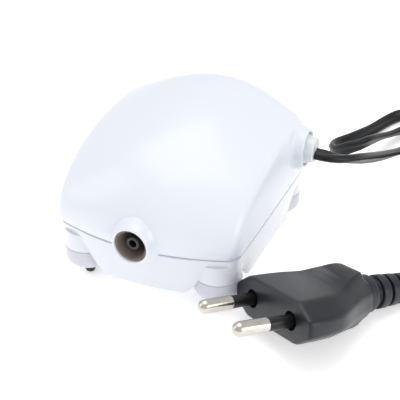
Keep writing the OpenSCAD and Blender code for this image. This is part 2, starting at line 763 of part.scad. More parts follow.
module plug_shell() {
  sides = 8;
  rows = len(plug_stations);
  points = [for (s = plug_stations) each plug_ring(s)];
  walls = [for (r = [0:rows - 2]) for (m = [0:sides - 1])
    let (a = r * sides + m, b = r * sides + (m + 1) % sides)
    each [[a, b, b + sides], [a, b + sides, a + sides]]];
  first = [for (m = [sides - 1:-1:0]) m];
  last = [for (m = [0:sides - 1]) (rows - 1) * sides + m];
  polyhedron(points, concat(walls, [first, last]), convexity = 4);
}

module plug_body() {
  relief_end = -plug_length - relief_length;
  color(rubber_black) in_plug() difference() {
    union() {
      plug_shell();
      // Grip ridge across the top
      for (side = [-1, 1]) translate([-21.5, 0, side * 5.2]) rotate([0, 0, 45])
        cube([6, 6, 4.4], center = true);
      // Tapered strain relief
      translate([-plug_length + 1, 0, 0]) rotate([0, -90, 0])
        cylinder(r1 = 4.9, r2 = 3.1, h = relief_length + 1);
    }
    for (side = [-1, 1]) translate([-9, side * pin_gap_base, 0]) rotate([0, 90, -side * pin_splay])
      cylinder(r = 1.5, h = 14);
    // Shallow pockets around the pins
    for (side = [-1, 1]) translate([0, side * pin_gap_base, 0]) rotate([0, 90, -side * pin_splay])
      cylinder(r = 2.9, h = 4);
    // Slots that let the relief bend
    for (k = [0:3]) for (side = [-1, 1])
      translate([-plug_length - 4 - 3.4 * k, side * 4.4, (k % 2 == 0 ? 1 : -1) * 0.2])
        cube([1.3, 5, 7], center = true);
  }
}

// A pin points along +X of the plug; side is -1 left or 1 right
module on_pin(side) {
  in_plug() translate([-9, side * pin_gap_base, 0]) rotate([0, 90, -side * pin_splay]) children();
}
module pin_sleeve(side) {
  color(rubber_black) on_pin(side) translate([0, 0, 9]) difference() {
    cylinder(r = 1.8, h = 9);
    translate([0, 0, -1]) cylinder(r = 1.5, h = 11);
  }
}
module plug_pin(side) {
  color(steel) on_pin(side) {
    cylinder(r = 1.5, h = 18);
    translate([0, 0, 18]) rotate_extrude() polygon(concat([[0, 0], [2, 0]],
      [for (a = [0:15:75]) [2 * cos(a), 8 + 2 * sin(a)]], [[0, 10]]));
  }
}
module pin_sleeve_left() { pin_sleeve(-1); }
module pin_sleeve_right() { pin_sleeve(1); }
module plug_pin_left() { plug_pin(-1); }
module plug_pin_right() { plug_pin(1); }

top_casing();
bottom_casing();
foot_boot_front_left();
foot_boot_front_right();
foot_boot_rear_left();
foot_boot_rear_right();
foot_tip_front_left();
foot_tip_front_right();
foot_tip_rear_left();
foot_tip_rear_right();
casing_screws();
outlet_grommet();
outlet_nozzle();
valve_housing();
housing_screws();
valve_plate();
valve_gasket();
inlet_flap();
outlet_flap();
pump_chamber();
diaphragm();
clamp_ring();
chamber_screws();
diaphragm_washer();
diaphragm_screw();
swing_arm();
pivot_bush();
pivot_pin();
pivot_clip();
magnet_holder();
magnet_left();
magnet_right();
core_laminations();
coil_bobbin();
coil_winding();
core_screws();
chassis_tray();
chassis_screws();
lead_wires();
intake_felt();
filter_cover();
cord_gland();
power_cord();
cord_coil();
plug_lead();
plug_body();
pin_sleeve_left();
pin_sleeve_right();
plug_pin_left();
plug_pin_right();
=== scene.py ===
import json
import math

import bmesh
import bpy
import numpy as np
from mathutils import Matrix, Vector


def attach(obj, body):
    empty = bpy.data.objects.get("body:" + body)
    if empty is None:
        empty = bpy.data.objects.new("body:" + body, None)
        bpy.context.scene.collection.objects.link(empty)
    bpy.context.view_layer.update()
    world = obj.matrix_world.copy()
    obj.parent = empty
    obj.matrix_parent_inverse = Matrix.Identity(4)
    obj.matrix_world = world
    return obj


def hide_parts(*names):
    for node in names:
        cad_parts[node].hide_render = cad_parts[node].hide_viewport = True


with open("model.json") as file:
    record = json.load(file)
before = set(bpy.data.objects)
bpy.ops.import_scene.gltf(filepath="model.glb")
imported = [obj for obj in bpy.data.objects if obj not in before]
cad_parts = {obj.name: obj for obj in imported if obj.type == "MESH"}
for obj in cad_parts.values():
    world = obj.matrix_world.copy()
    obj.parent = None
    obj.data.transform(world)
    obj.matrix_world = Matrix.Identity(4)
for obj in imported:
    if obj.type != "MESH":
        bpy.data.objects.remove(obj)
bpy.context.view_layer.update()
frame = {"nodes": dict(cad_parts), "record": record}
NODES = frame["nodes"]
MM = 0.001
# From the middle of the casing, where the shapes below are drawn, to the frame's origin
SHIFT = np.array([-1.55, 1.15, 0.0])

# ---------------------------------------------------------------- camera

scene = bpy.context.scene
cam_data = bpy.data.cameras.new("camera")
cam = bpy.data.objects.new("camera", cam_data)
scene.collection.objects.link(cam)
CAM_AT = Vector((96.23, -214.56, 153.86)) * MM
CAM_AIM = Vector((2.58, 0.80, 16.63)) * MM
cam.location = CAM_AT
look = CAM_AIM - CAM_AT
cam.rotation_euler = look.to_track_quat("-Z", "Y").to_euler()
cam_data.lens = 78.3
cam_data.sensor_width = 36
cam_data.clip_start = 0.01
scene.camera = cam

# ---------------------------------------------------------------- mesh helpers


def new_object(name, verts, faces, smooth=None):
    """Object from points in millimetres; smooth is the sharp-edge angle in degrees."""
    mesh = bpy.data.meshes.new(name)
    mesh.from_pydata([tuple(float(c) * MM for c in v) for v in verts], [], faces)
    mesh.validate()
    ob = bpy.data.objects.new(name, mesh)
    scene.collection.objects.link(ob)
    bm = bmesh.new()
    bm.from_mesh(mesh)
    bmesh.ops.recalc_face_normals(bm, faces=bm.faces)
    if smooth is not None:
        for f in bm.faces:
            f.smooth = True
        limit = math.radians(smooth)
        for e in bm.edges:
            if len(e.link_faces) == 2 and e.calc_face_angle(0) > limit:
                e.smooth = False
    bm.to_mesh(mesh)
    bm.free()
    return ob


def merge(*shapes):
    """Several shapes, each points and faces, as one."""
    verts, faces = [], []
    for v, f in shapes:
        base = len(verts)
        verts += [tuple(p) for p in v]
        faces += [tuple(i + base for i in q) for q in f]
    return verts, faces


def placed(shape, origin, axis):
    """A shape made around +Z, moved to origin with +Z along axis."""
    rot = Vector((0, 0, 1)).rotation_difference(Vector(axis)).to_matrix()
    rot = np.array(rot)
    v = np.array(shape[0]) @ rot.T + np.array(origin, float)
    return [tuple(p) for p in v], shape[1]


def lathe(profile, count=96):
    """Solid of revolution about +Z from (radius, height) points; a radius of 0 is a pole."""
    verts, rings = [], []
    for r, z in profile:
        if r <= 1e-6:
            rings.append([len(verts)])
            verts.append((0.0, 0.0, z))
        else:
            rings.append(list(range(len(verts), len(verts) + count)))
            verts += [(r * math.cos(2 * math.pi * k / count),
                       r * math.sin(2 * math.pi * k / count), z) for k in range(count)]
    faces = []
    for a, b in zip(rings, rings[1:] + rings[:1]):
        if len(a) == 1 and len(b) == 1:
            continue
        for k in range(count):
            n = (k + 1) % count
            if len(a) == 1:
                faces.append((a[0], b[n], b[k]))
            elif len(b) == 1:
                faces.append((a[k], a[n], b[0]))
            else:
                faces.append((a[k], a[n], b[n], b[k]))
    return verts, faces


def rounded(profile, radius, steps=5):
    """Profile with its inner corners rounded; the first and last points stay."""
    out = [profile[0]]
    for a, b, c in zip(profile, profile[1:], profile[2:]):
        a, b, c = np.array(a, float), np.array(b, float), np.array(c, float)
        la, lc = np.linalg.norm(a - b), np.linalg.norm(c - b)
        d = min(radius, 0.45 * la, 0.45 * lc)
        p, q = b + (a - b) / la * d, b + (c - b) / lc * d
        for k in range(steps + 1):
            h = k / steps
            out.append(tuple(p * (1 - h) ** 2 + 2 * b * h * (1 - h) + q * h * h))
    out.append(profile[-1])
    return [(float(r), float(z)) for r, z in out]


def cut(ob, *tools):
    """Takes each tool's volume out of ob."""
    for tool in tools:
        mod = ob.modifiers.new("cut", "BOOLEAN")
        mod.operation, mod.solver, mod.object = "DIFFERENCE", "EXACT", tool
        deps = bpy.context.evaluated_depsgraph_get()
        mesh = bpy.data.meshes.new_from_object(ob.evaluated_get(deps))
        ob.modifiers.clear()
        old = ob.data
        ob.data = mesh
        bpy.data.meshes.remove(old)
        bpy.data.objects.remove(tool)


def sharpen(ob, angle):
    """Smooth faces, with sharp edges where they meet at more than angle degrees."""
    bm = bmesh.new()
    bm.from_mesh(ob.data)
    limit = math.radians(angle)
    for f in bm.faces:
        f.smooth = True
    for e in bm.edges:
        e.smooth = not (len(e.link_faces) == 2 and e.calc_face_angle(0) > limit)
    bm.to_mesh(ob.data)
    bm.free()


# ---------------------------------------------------------------- materials


def material(name, color, rough, mottle=0.02, scale=60.0, bump=0.0, bump_scale=900.0,
             spread=0.06, metallic=0.0, coat=0.0, specular=0.5, subsurface=0.0, tint=None,
             second=None):
    """Moulded surface: colour that drifts slightly, roughness that varies, fine relief."""
    m = bpy.data.materials.new(name)
    m.use_nodes = True
    nt = m.node_tree
    nodes, links = nt.nodes, nt.links
    bsdf = nodes["Principled BSDF"]
    coord = nodes.new("ShaderNodeTexCoord")
    drift = nodes.new("ShaderNodeTexNoise")
    drift.inputs["Scale"].default_value = scale
    drift.inputs["Detail"].default_value = 3
    links.new(coord.outputs["Object"], drift.inputs["Vector"])
    ramp = nodes.new("ShaderNodeValToRGB")
    low = [max(0.0, c * (1 - mottle)) for c in color]
    high = [min(1.0, c * (1 + mottle)) for c in color]
    if second:
        low = list(second)
    ramp.color_ramp.elements[0].position = 0.3
    ramp.color_ramp.elements[1].position = 0.7
    ramp.color_ramp.elements[0].color = (*low, 1)
    ramp.color_ramp.elements[1].color = (*high, 1)
    links.new(drift.outputs["Fac"], ramp.inputs["Fac"])
    links.new(ramp.outputs["Color"], bsdf.inputs["Base Color"])
    fine = nodes.new("ShaderNodeTexNoise")
    fine.inputs["Scale"].default_value = bump_scale
    fine.inputs["Detail"].default_value = 4
    links.new(coord.outputs["Object"], fine.inputs["Vector"])
    span = nodes.new("ShaderNodeMapRange")
    span.inputs["To Min"].default_value = max(0.02, rough - spread)
    span.inputs["To Max"].default_value = min(1.0, rough + spread)
    links.new(fine.outputs["Fac"], span.inputs["Value"])
    links.new(span.outputs["Result"], bsdf.inputs["Roughness"])
    if bump > 0:
        relief = nodes.new("ShaderNodeBump")
        relief.inputs["Strength"].default_value = bump
        relief.inputs["Distance"].default_value = 0.0002
        links.new(fine.outputs["Fac"], relief.inputs["Height"])
        links.new(relief.outputs["Normal"], bsdf.inputs["Normal"])
    bsdf.inputs["Metallic"].default_value = metallic
    bsdf.inputs["Specular IOR Level"].default_value = specular
    if coat:
        bsdf.inputs["Coat Weight"].default_value = coat
        bsdf.inputs["Coat Roughness"].default_value = 0.06
    if subsurface:
        bsdf.inputs["Subsurface Weight"].default_value = subsurface
        bsdf.inputs["Subsurface Scale"].default_value = 0.004
        bsdf.inputs["Subsurface Radius"].default_value = tint
    return m


def wound(name, color, band, rough, axis):
    """Fine parallel lines: wire turns or stacked sheets. band is the pitch in metres."""
    dark = 0.45
    m = material(name, color, rough, mottle=0.06, scale=120, metallic=1.0)
    nt = m.node_tree
    nodes, links = nt.nodes, nt.links
    bsdf = nodes["Principled BSDF"]
    coord = nodes.new("ShaderNodeTexCoord")
    wave = nodes.new("ShaderNodeTexWave")
    wave.bands_direction = axis
    wave.inputs["Scale"].default_value = 0.314 / band
    wave.inputs["Distortion"].default_value = 0.4
    links.new(coord.outputs["Object"], wave.inputs["Vector"])
    ramp = nodes.new("ShaderNodeValToRGB")
    ramp.color_ramp.elements[0].color = (*[c * dark for c in color], 1)
    ramp.color_ramp.elements[1].color = (*color, 1)
    links.new(wave.outputs["Fac"], ramp.inputs["Fac"])
    links.new(ramp.outputs["Color"], bsdf.inputs["Base Color"])
    relief = nodes.new("ShaderNodeBump")
    relief.inputs["Strength"].default_value = 0.6
    relief.inputs["Distance"].default_value = 0.0001
    links.new(wave.outputs["Fac"], relief.inputs["Height"])
    links.new(relief.outputs["Normal"], bsdf.inputs["Normal"])
    return m


MATS = {
    "casing_white": material("white_gloss", (0.655, 0.68, 0.745), 0.3, mottle=0.006,
                             scale=25, bump=0.02, bump_scale=260, spread=0.03, coat=0.12),
    "base_white": material("base_gloss", (0.66, 0.675, 0.73), 0.22, mottle=0.008,
                           scale=30, bump=0.03, bump_scale=300, spread=0.04, coat=0.2),
    "boot_grey": material("boot_rubber", (0.56, 0.56, 0.62), 0.33, mottle=0.02, scale=90,
                          bump=0.05, bump_scale=700, spread=0.05, subsurface=0.35,
                          tint=(0.9, 0.9, 1.0)),
    "tip_black": material("tip_rubber", (0.018, 0.018, 0.02), 0.55, mottle=0.2, scale=200,
                          bump=0.2, bump_scale=1500),
    "grommet_rubber": material("grommet_rubber", (0.17, 0.135, 0.115), 0.5, mottle=0.12,
                               scale=250, bump=0.15, bump_scale=1400,
                               second=(0.125, 0.10, 0.088)),
    "nozzle_black": material("nozzle_plastic", (0.02, 0.02, 0.022), 0.4, mottle=0.2,
                             scale=200, bump=0.08),
    "inner_plastic": material("natural_plastic", (0.74, 0.73, 0.67), 0.42, mottle=0.03,
                              scale=70, bump=0.1, bump_scale=800),
    "gasket_rubber": material("gasket_rubber", (0.028, 0.028, 0.03), 0.6, mottle=0.2,
                              scale=160, bump=0.2, bump_scale=1100),
    "screw_steel": material("plated_steel", (0.55, 0.56, 0.58), 0.32, mottle=0.08,
                            scale=300, bump=0.1, bump_scale=2500, metallic=1.0),
    "ferrite": material("ferrite", (0.07, 0.07, 0.075), 0.62, mottle=0.25, scale=400,
                        bump=0.4, bump_scale=3000),
    "core_steel": wound("core_sheets", (0.38, 0.39, 0.41), 0.0005, 0.45, "Z"),
    "copper_wire": wound("copper_wire", (0.62, 0.27, 0.12), 0.0002, 0.28, "Y"),
    "felt": material("felt", (0.72, 0.71, 0.66), 0.95, mottle=0.08, scale=900, bump=0.9,
                     bump_scale=4000),
    "gland_clear": material("gland_plastic", (0.62, 0.64, 0.66), 0.22, mottle=0.02,
                            scale=120, bump=0.03, bump_scale=500, subsurface=0.4,
                            tint=(0.8, 0.9, 1.0)),
    "lead_black": material("lead_pvc", (0.006, 0.0065, 0.008), 0.34, mottle=0.25, scale=180,
                           specular=0.3, bump=0.06, bump_scale=1600, spread=0.07),
    "plug_black": material("plug_pvc", (0.008, 0.0095, 0.0135), 0.34, mottle=0.25, scale=220,
                           specular=0.42, bump=0.22, bump_scale=3200, spread=0.08),
    "sleeve_black": material("sleeve_plastic", (0.006, 0.006, 0.007), 0.3, mottle=0.2,
                             specular=0.35, scale=200, bump=0.04),
    "pin_nickel": material("pin_nickel", (0.55, 0.52, 0.47), 0.22, mottle=0.05, scale=500,
                           bump=0.06, bump_scale=2500, metallic=1.0, spread=0.08),
}

slot_of = {s["node"]: s["material_slot"] for s in frame["record"]["subparts"]}


def dress(ob, slot_name):
    """Gives an object the material of its record slot and no other."""
    ob.data.materials.clear()
    ob.data.materials.append(MATS[slot_name])


def piece(ob, slot_name, *nodes, body="pump"):
    """A finished piece: its material, body, record slot and the CAD nodes it stands for."""
    dress(ob, slot_name)
    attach(ob, body)
    if nodes:
        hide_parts(*nodes)
    return ob


# ---------------------------------------------------------------- the lead

# The same route as the lead's solid: x, y, z in millimetres and roll in degrees
CORD_ROUTE = [
    (34, 17.6, 31.4, 0), (36.8, 17.8, 31.2, 0), (39.6, 18.8, 30.6, -10),
    (42, 20.9, 29.8, -20), (43.8, 24, 28.7, -30), (45.2, 28.4, 27, -38),
    (46.4, 34, 24.7, -42), (48.2, 44, 20.8, -42), (50.2, 56, 16.6, -36),
    (52.8, 69, 12.6, -20), (55.6, 81, 8.8, 0), (59, 91.5, 5.4, 20),
    (61.9, 100.5, 3.6, 60), (61.2, 108.6, 2.6, 85), (55.8, 113.3, 2.6, 85),
    (49.2, 110.6, 2.6, 80), (44.6, 104.2, 3, 50), (41.4, 94.4, 4.9, 30),
    (38.8, 83.8, 7.5, 50), (37.2, 77, 9, 70), (34.9, 73.7, 8.7, 75),
    (31.3, 72.1, 7.4, 80),
    (27.5, 73, 4.9, 80), (24.9, 76, 3.7, 80), (24.2, 80, 3, 75),
    (25.2, 84.4, 2.6, 60), (29, 92.4, 2, 40), (33.6, 103.4, 1.7, 20),
    (37.4, 113.4, 2, 30), (41.6, 120, 2.5, 60), (48, 123, 2.6, 80),
    (56, 122.4, 2.6, 80), (64, 118.2, 2.4, 60), (70.5, 112, 2, 30),
    (77, 106.6, 1.5, 10), (84, 102.8, 1.4, 0), (91.5, 99.8, 1.4, 0),
    (99, 96.85, 1.4, 0)]
PLUG_ROUTE = [
    (108.2, 44.5, 4.15, 0), (103, 38.9, 4.1, 0), (97.5, 32.8, 3.8, 0),
    (90, 24.2, 2.4, 0), (83, 15.8, 1.8, 0), (77, 8.4, 2.6, 0), (71.3, 1, 4, 0)]
LEAD_W = 5.0
# The wound lead: middle, outer turn's radius, step between turns, height of the first layer
# and between layers
COIL_AT = (88.5, 68)
COIL_R, COIL_PITCH, COIL_Z, COIL_LAYER = 30.7, 5.4, 1.47, 2.8
COIL_START, COIL_STEPS = 70, 18


def ease(h):
    """0 to 1 with a soft start and end, held outside."""
    h = min(1.0, max(0.0, h))
    return h * h * (3 - 2 * h)


def coil_point(turn):
    """Point of the wound lead: inwards on the lower layer, then up and back outwards."""
    lower = sum(ease((turn - k - 0.75) / 0.2) for k in range(2))
    upper = sum(ease((turn - k - 3.55) / 0.2) for k in range(2))
    r = COIL_R - COIL_PITCH * (lower - upper)
    z = COIL_Z + COIL_LAYER * ease((turn - 2.58) / 0.2)
    a = math.radians(COIL_START - 360 * turn)
    return (COIL_AT[0] + r * math.cos(a), COIL_AT[1] + r * math.sin(a), z, 0)


def catmull(points, per):
    """Smooth curve through the points, with per steps from each to the next."""
    pts = [np.array(p, float) for p in points]
    n = len(pts) - 1
    out = []
    for k in range(n):
        b, c = pts[k], pts[k + 1]
        a = pts[k - 1] if k else 2 * b - c
        d = pts[k + 2] if k < n - 1 else 2 * c - b
        for i in range(per):
            h = i / per
            out.append(0.5 * (2 * b + (c - a) * h + (2 * a - 5 * b + 4 * c - d) * h ** 2
                              + (3 * b - a - 3 * c + d) * h ** 3))
    out.append(pts[-1])
    return np.array(out)


def lead_section():
    """Flat twin lead: two round cores joined by a web, with a groove along the middle."""
    ring = []
    for k in range(32):
        a = 2 * math.pi * (k + 0.5) / 32
        x = LEAD_W / 2 * math.copysign(abs(math.cos(a)) ** 0.8, math.cos(a))
        core = 1.69 - (abs(x) - 1.2) ** 2
        half = max(math.sqrt(max(core, 0.0)), 0.82 if abs(x) < 1.2 else 0.0)
        ring.append((x, math.copysign(half, math.sin(a))))
    return ring


def sweep(centre, section):
    """Closed solid of the section carried along x, y, z and roll."""
    p = centre[:, :3]
    roll = np.radians(centre[:, 3])
    q = np.gradient(p, axis=0)
    q /= np.linalg.norm(q, axis=1)[:, None]
    level = np.cross([0, 0, 1], q)
    level /= np.linalg.norm(level, axis=1)[:, None]
    plumb = np.cross(q, level)
    side = level * np.cos(roll)[:, None] + plumb * np.sin(roll)[:, None]
    top = plumb * np.cos(roll)[:, None] - level * np.sin(roll)[:, None]
    verts, faces = [], []
    m = len(section)
    for i in range(len(p)):
        verts += [tuple(p[i] + side[i] * x + top[i] * z) for x, z in section]
    for i in range(len(p) - 1):
        for k in range(m):
            n = (k + 1) % m
            faces.append((i * m + k, i * m + n, (i + 1) * m + n, (i + 1) * m + k))
    for i, flip in ((0, True), (len(p) - 1, False)):
        mid = len(verts)
        verts.append(tuple(p[i]))
        for k in range(m):
            a, b = i * m + k, i * m + (k + 1) % m
            faces.append((b, a, mid) if flip else (a, b, mid))
    return verts, faces


turns = [coil_point(k / COIL_STEPS) for k in range(1, 96)]
lead_line = catmull(CORD_ROUTE + turns + PLUG_ROUTE, 6)
# The lead never dips into the floor: half its thickness, and more where it is rolled
FLAT_REST, ROLL_REST = 1.33, 1.2
rest_z = FLAT_REST + ROLL_REST * np.abs(np.sin(np.radians(lead_line[:, 3])))
lead_line[:, 2] = np.maximum(lead_line[:, 2], rest_z)
lead = new_object("mains_lead", *sweep(lead_line, lead_section()), smooth=50)

# ---------------------------------------------------------------- casing surfaces

SEAM_Z, HALF_W, CROWN_RISE, EDGE_RISE, CROWN_Y, WALL = 18.8, 29.6, 30.4, 22.2, 17.5, 1.8
EDGE_HALF, EDGE_BOW, EDGE_LEN, END_BOW = 27.4, 1.9, 32.6, 5.0
CORNER_START, CORNER_TIP, BULGE = 28.6, 31.8, 0.5
TUCK, TUCK_H = 0.042, 2.2
OUTLET_Z, OUTLET_LIP = 21.6, -39.6
PORT_Y, PORT_Z = 16.4, 32.6


def roof_point(s, t, off):
    """Roof at s across (1 right, -1 left) and t along (0 front, pi rear), off inside."""
    ct, st = math.cos(t), math.sin(t)
    share = 1 - s * s
    n = 2.1 + (2.4 - 2.1) * share if ct > 0 else 1.75 + (2.8 - 1.75) * share
    rise = EDGE_RISE + (CROWN_RISE - EDGE_RISE) * math.cos(math.pi / 2 * s) - off
    end_y = EDGE_LEN + END_BOW * share - off
    c = math.copysign(abs(ct) ** (2 / n), ct)
    y = CROWN_Y + (-end_y - CROWN_Y) * c if c > 0 else CROWN_Y - (end_y - CROWN_Y) * c
    return np.array([s * (EDGE_HALF + EDGE_BOW * st - off), y, rise * abs(st) ** (2 / n)])


def side_point(h, t, off, last):
    """Right side wall at height share h; last is the line along the front or rear seam."""
    edge = roof_point(1, t, off)
    side = HALF_W - off
    if last:
        end = -1 if t < 1 else 1
        a = np.array([side, end * CORNER_START, 0])
        b = np.array([side, end * (CORNER_TIP - off), 0])
        return a * (1 - h) ** 2 + b * 2 * h * (1 - h) + edge * h * h
    foot = np.array([side, edge[1] * CORNER_START / EDGE_LEN, 0])
    bulge = BULGE * math.sin(math.pi * h) * max(0.0, math.sin(t)) ** 0.35
    return foot + (edge - foot) * h + np.array([bulge, 0, 0])


WALL_STEPS, ROOF_STEPS, EVEN_STEPS = 40, 240, 700


def hood_row(t, off, last):
    """One line across the dome, from the right seam over the roof to the middle."""
    wall_pts = [side_point(h, t, off, last) for h in np.linspace(0, 1, WALL_STEPS)]
    roof_pts = [roof_point(s, t, off) for s in np.linspace(1, -1, ROOF_STEPS)[1:]]
    other = [p * np.array([-1, 1, 1]) for p in wall_pts[::-1]][1:]
    line = np.array(wall_pts + roof_pts + other)
    run = np.concatenate([[0], np.cumsum(np.linalg.norm(np.diff(line, axis=0), axis=1))])
    crease, total = run[WALL_STEPS - 1], run[-1]
    even = np.linspace(0, total, EVEN_STEPS)
    dense = np.stack([np.interp(even, run, line[:, k]) for k in range(3)], 1)
    step = total / (EVEN_STEPS - 1)
    sigma = (1.25 if off == 0 else 0.8) * min(1.0, crease / 6) / step
    width = int(4 * sigma) + 1
    kernel = np.exp(-0.5 * (np.arange(-width, width + 1) / max(sigma, 1e-6)) ** 2)
    kernel /= kernel.sum()
    before = 2 * dense[0] - dense[width:0:-1]
    after = 2 * dense[-1] - dense[-2:-2 - width:-1]
    padded = np.concatenate([before, dense, after])
    soft = np.stack([np.convolve(padded[:, k], kernel, "valid") for k in range(3)], 1)
    d = min(4.0, 0.45 * crease)
    mid = total / 2
    at = np.concatenate([np.linspace(0, crease - d, 12)[:-1],
                         np.linspace(crease - d, crease + d, 17)[:-1],
                         np.linspace(crease + d, mid, 34)])
    half = np.stack([np.interp(at, even, soft[:, k]) for k in range(3)], 1)
    half[-1, 0] = 0.0
    return np.concatenate([half, (half * np.array([-1, 1, 1]))[-2::-1]])


ROWS = 150
TURNS = [math.pi / 2 * (1 - math.cos(math.pi * j / ROWS)) for j in range(ROWS + 1)]


def hood_grid(off):
    """The dome's surface as rows from front to rear, tucked in a little above the seam."""
    rows = [hood_row(t, off, j in (0, ROWS)) for j, t in enumerate(TURNS)]
    grid = np.array(rows)
    q = 1 - TUCK * np.exp(-grid[:, :, 2] / TUCK_H)
    grid[:, :, 0] *= q
    grid[:, :, 1] *= q
    grid[:, :, 2] += SEAM_Z
    return grid


def loop_indices(cols):
    """The seam line around a grid, as (row, column) pairs."""
    last = cols - 1
    return ([(0, c) for c in range(cols)] + [(j, last) for j in range(1, ROWS + 1)]
            + [(ROWS, c) for c in range(last - 1, -1, -1)]
            + [(j, 0) for j in range(ROWS - 1, 0, -1)])


def hood_shell():
    """The hood as a closed shell, with its outer and inner seam lines."""
    outer, inner = hood_grid(0), hood_grid(WALL)
    cols = outer.shape[1]
    verts = [tuple(p) for p in outer.reshape(-1, 3)] + [tuple(p) for p in inner.reshape(-1, 3)]
    base = outer.shape[0] * cols
    faces = []
    for j in range(ROWS):
        for c in range(cols - 1):
            a, b = j * cols + c, j * cols + c + 1
            faces.append((a, b, b + cols, a + cols))
            faces.append((base + a + cols, base + b + cols, base + b, base + a))
    loop = [j * cols + c for j, c in loop_indices(cols)]
    for a, b in zip(loop, loop[1:] + loop[:1]):
        faces.append((b, a, base + a, base + b))
    seam = [outer[j, c] for j, c in loop_indices(cols)]
    seam_in = [inner[j, c] for j, c in loop_indices(cols)]
    return (verts, faces), np.array(seam), np.array(seam_in)


def shifted(shape):
    """A shape drawn about the casing's middle, moved to the frame."""
    return [tuple(np.array(p) + SHIFT) for p in shape[0]], shape[1]


hood, seam_out, seam_in = hood_shell()


def half_lathe(profile, upper):
    """Half of a collar about +Z, cut flat; upper keeps the half that ends up on top."""
    lift = SEAM_Z - OUTLET_Z
    verts, faces = lathe(profile, 128)
    ob = new_object("half_collar", verts, faces)
    bm = bmesh.new()
    bm.from_mesh(ob.data)
    geom = bm.verts[:] + bm.edges[:] + bm.faces[:]
    halved = bmesh.ops.bisect_plane(
        bm, geom=geom, plane_co=(0, -lift * MM, 0), plane_no=(0, 1, 0),
        clear_outer=upper, clear_inner=not upper)
    edges = [e for e in halved["geom_cut"] if isinstance(e, bmesh.types.BMEdge)]
    bmesh.ops.holes_fill(bm, edges=edges)
    verts = [tuple(c / MM for c in v.co) for v in bm.verts]
    bm.verts.index_update()
    faces = [tuple(v.index for v in f.verts) for f in bm.faces]
    bm.free()
    old = ob.data
    bpy.data.objects.remove(ob)
    bpy.data.meshes.remove(old)
    return verts, faces


def facing_front(shape, y, z):
    """A shape about +Z turned so that its +Z runs back along +Y and its -Y is up."""
    return [(x, y + h, z - v) for x, v, h in shape[0]], shape[1]


def facing_right(shape, x, y, z):
    """A shape about +Z turned so that its +Z runs along +X."""
    return [(x + h, y + u, z + v) for u, v, h in shape[0]], shape[1]


COLLAR = rounded([(4.95, 8), (4.95, 0.3), (5.15, 0), (5.5, 0), (5.8, 0.35), (6.1, 1.5),
                  (6.7, 2.6), (7.6, 3.8), (7.9, 8)], 0.8, 6)
PORT = rounded([(3.3, 1.2), (5.2, 3), (5.2, 6.4), (5.4, 6.6), (5.9, 6.6), (6.1, 6.3),
                (6.35, 5.4), (6.7, 4.2), (7.9, 2.6), (8.6, 1.2)], 0.6, 6)


def opened(name, shell, *tools):
    """The shell with the tools' volumes cut out, as points and faces again."""
    ob = new_object(name, *shell)
    cut(ob, *[new_object("tool", *t) for t in tools])
    verts = [tuple(c / MM for c in v.co) for v in ob.data.vertices]
    faces = [tuple(f.vertices) for f in ob.data.polygons]
    old = ob.data
    bpy.data.objects.remove(ob)
    bpy.data.meshes.remove(old)
    return verts, faces


outlet_bore = facing_front(lathe([(0, 0), (5.1, 0), (5.1, 14), (0, 14)], 64),
                           OUTLET_LIP - 1, OUTLET_Z)
port_bore = facing_right(lathe([(0, 0), (3.6, 0), (3.6, 12), (0, 12)], 64), 22, PORT_Y, PORT_Z)
top = merge(opened("dome", hood, outlet_bore, port_bore),
            facing_front(half_lathe(COLLAR, True), OUTLET_LIP, OUTLET_Z),
            facing_right(lathe(PORT), 26.4, PORT_Y, PORT_Z))
top_shell = new_object("top_shell", *shifted(top), smooth=35)


TUB_DEPTH, CORNER_LIFT, TUB_FLOOR = 14.4, 6.2, 4.2


def tub_depth(p):
    """Depth of the tub's wall below a seam point: less at the corners, where the legs stand."""
    m = abs(p[0] * p[1]) / (HALF_W * EDGE_LEN)
    return TUB_DEPTH - CORNER_LIFT * ease((m - 0.48) / 0.26)


def tub_shell():
    """Lower casing: rings from the seam down the sides and across the floor."""
    marks = [(1, 0.045), (0.993, 0.3), (0.975, 0.65), (0.945, 0.92), (0.9, 1.0), (0.86, 1.0)]
    prof = catmull([(r, d, 0, 0) for r, d in marks], 5)[:-6, :2]
    prof[:, 1] = np.minimum(prof[:, 1], 1.0)
    # Narrow groove under the seam
    prof = np.concatenate([[(0.982, 0.0), (0.982, 0.028), (0.994, 0.034)], prof])
    rings = []
    for off, outline in ((0.0, seam_out), (WALL, seam_in)):
        for r, d in prof:
            ring = []
            for p, o in zip(outline, seam_out):
                depth = tub_depth(o)
                ring.append((p[0] * r, p[1] * r, SEAM_Z if d <= 0 else
                             SEAM_Z - depth * d + off * min(1.0, 3 * d)))
            rings.append(ring)
        for r in (0.84, 0.78, 0.7, 0.62, 0.4, 0.15):
            ring = []
            h = ease((0.9 - r) / 0.28)
            for p, o in zip(outline, seam_out):
                depth = tub_depth(o)
                z = SEAM_Z - depth + (TUB_FLOOR - SEAM_Z + depth) * h + off
                ring.append((p[0] * r, p[1] * r, z))
            rings.append(ring)
    half = len(rings) // 2
    verts, faces = [], []
    m = len(seam_out)

    def add(stack, flip):
        base = len(verts)
        for ring in stack:
            verts.extend(ring)
        for i in range(len(stack) - 1):
            for k in range(m):
                n = (k + 1) % m
                a, b = base + i * m + k, base + i * m + n
                quad = (a, b, b + m, a + m)
                faces.append(quad[::-1] if flip else quad)
        tip = len(verts)
        verts.append((0, 0, stack[-1][0][2]))
        for k in range(m):
            a, b = base + (len(stack) - 1) * m + k, base + (len(stack) - 1) * m + (k + 1) % m
            faces.append((tip, b, a) if flip else (a, b, tip))
        return base

    a0 = add(rings[:half], False)
    b0 = add(rings[half:], True)
    for k in range(m):
        n = (k + 1) % m
        faces.append((a0 + n, a0 + k, b0 + k, b0 + n))
    return verts, faces


